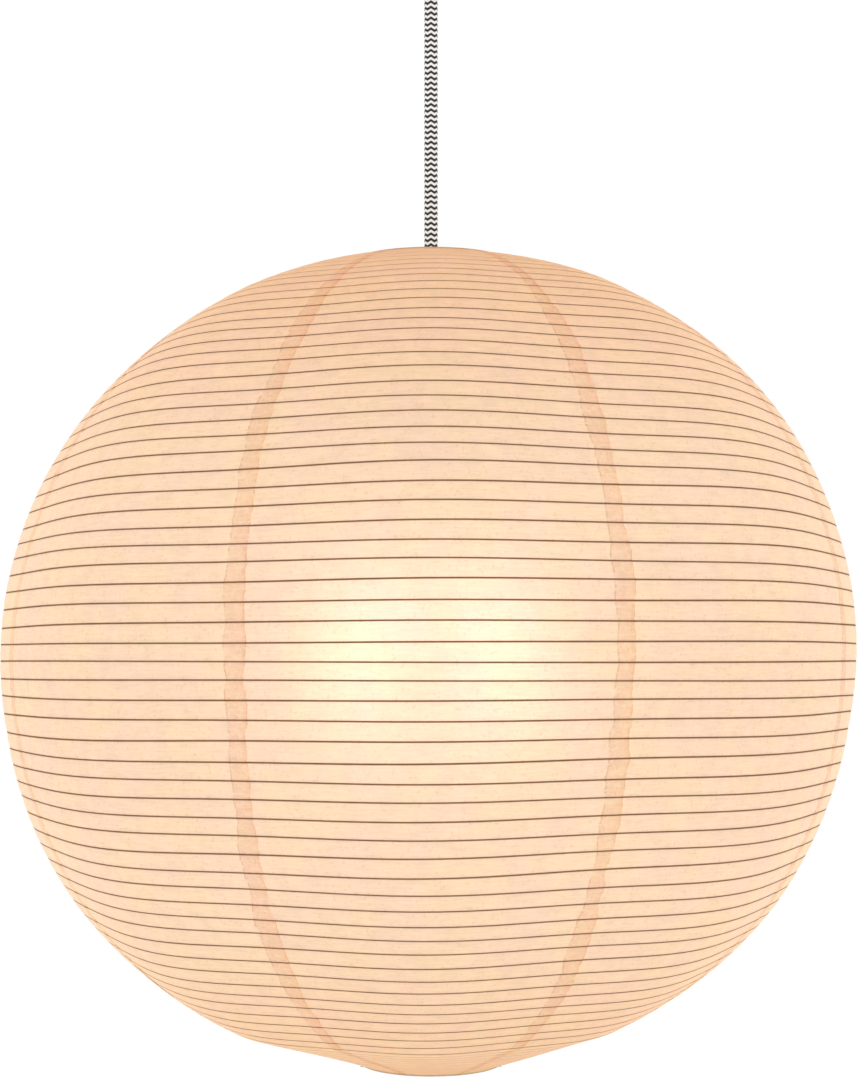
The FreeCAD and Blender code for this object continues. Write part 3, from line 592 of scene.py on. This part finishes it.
# Cord grips: black nylon mouldings with a spark-eroded matt skin, screwed into the cup's floor and
# the lampholder's cap. The terminal block is natural nylon.
black_nylon = grained("black_nylon", (0.018, 0.018, 0.019), (0.034, 0.034, 0.035), 2600.0,
                      bump_share=0.45, Roughness=0.52)
finish_nodes(black_nylon, "canopy_gland", "gland_nut", "holder_cord_grip")
natural_nylon = grained("natural_nylon", (0.80, 0.77, 0.70), (0.87, 0.85, 0.79), 300.0,
                        Roughness=0.45)
finish_nodes(natural_nylon, "terminal_block")


# Lampholder: cap, threaded skirt and shade ring are white thermoset with a fine matt skin. Inside
# are a ceramic block, a rolled brass thread shell, a brass contact and three insulated wires.
white_thermoset = grained("white_thermoset", (0.80, 0.80, 0.77), (0.87, 0.87, 0.85), 1800.0,
                          Roughness=0.42)
finish_nodes(white_thermoset, "holder_cap", "holder_skirt", "shade_ring_nut")
steatite = grained("steatite", (0.78, 0.75, 0.68), (0.86, 0.84, 0.78), 700.0, Roughness=0.7)
finish_nodes(steatite, "holder_core")
brass = grained("brass", (0.62, 0.46, 0.20), (0.78, 0.62, 0.32), 500.0, Metallic=1.0,
                Roughness=0.25)
finish_nodes(brass, "thread_shell", "centre_contact", "bulb_contact")
wire_skin, tree, shader = add_material("wire_skin", {"Roughness": 0.35})
place = add_node(tree, "SeparateXYZ", {0: add_node(tree, "TexCoord").outputs["Object"]})
rightward = math_node("GREATER_THAN", place.outputs[0], 0.0)
backward = math_node("GREATER_THAN", place.outputs[1], 0.0)
cool = add_node(tree, "MixRGB", {0: backward, 1: (0.25, 0.45, 0.04, 1), 2: (0.02, 0.12, 0.55, 1)})
three = add_node(tree, "MixRGB", {0: rightward, 1: cool.outputs[0], 2: (0.16, 0.06, 0.02, 1)})
tree.links.new(three.outputs[0], shader.inputs["Base Color"])
finish_nodes(wire_skin, "conductors")


# Bulb: an opal globe lit from within, on a white moulded housing, with an LED board between them,
# a nickel-plated screw cap, its black glass insulator and a brass end contact.
glow_foot, glow_shoulder = -0.478, -0.426  # levels between which the globe's light turns warmer
haze_depth = 0.006
opal, tree, shader = add_material("opal", {"Base Color": (0.02, 0.02, 0.02, 1), "Roughness": 0.3,
                                           "Specular IOR Level": 0.0, "Emission Strength": 0.95})
place = add_node(tree, "TexCoord").outputs["Object"]
opal_level = add_node(tree, "SeparateXYZ", {0: place}).outputs[2]
haze = add_node(tree, "TexNoise", {"Vector": place, "Scale": 70.0, "Detail": 3.0})
hazed = math_node("ADD", opal_level, math_node("MULTIPLY", haze.outputs[0], haze_depth))
lit = add_node(tree, "MixRGB", {0: ramp(hazed, glow_foot, glow_shoulder),
                                1: (1.0, 0.93, 0.80, 1), 2: (0.90, 0.68, 0.42, 1)})
tree.links.new(lit.outputs[0], shader.inputs["Emission Color"])
finish_nodes(opal, "bulb_globe")
housing_white = grained("housing_white", (0.84, 0.84, 0.82), (0.90, 0.90, 0.88), 1500.0,
                        Roughness=0.40)
finish_nodes(housing_white, "bulb_housing")
board_skin = grained("board_skin", (0.74, 0.74, 0.74), (0.86, 0.86, 0.85), 350.0, Metallic=0.6,
                     Roughness=0.40)
finish_nodes(board_skin, "led_board")
nickel = grained("nickel", (0.60, 0.59, 0.56), (0.74, 0.73, 0.70), 450.0, Metallic=1.0,
                 Roughness=0.24)
finish_nodes(nickel, "bulb_screw_cap")
black_glass = grained("black_glass", (0.008, 0.008, 0.010), (0.020, 0.020, 0.024), 200.0,
                      bump_share=0.1, Roughness=0.12)
finish_nodes(black_glass, "bulb_insulator")


# Lamp: the bulb's light, given off from just outside its opal globe. It moves with the bulb.
lamp = bpy.data.objects.new("lamp", bpy.data.lights.new("lamp", "POINT"))
bpy.context.scene.collection.objects.link(lamp)
lamp.location = (0, 0, -0.442)
lamp.data.energy = 1.35
lamp.data.color = (1.0, 0.875, 0.80)
lamp.data.shadow_soft_size = 0.040
lamp.visible_camera = False
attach(lamp, "bulb")
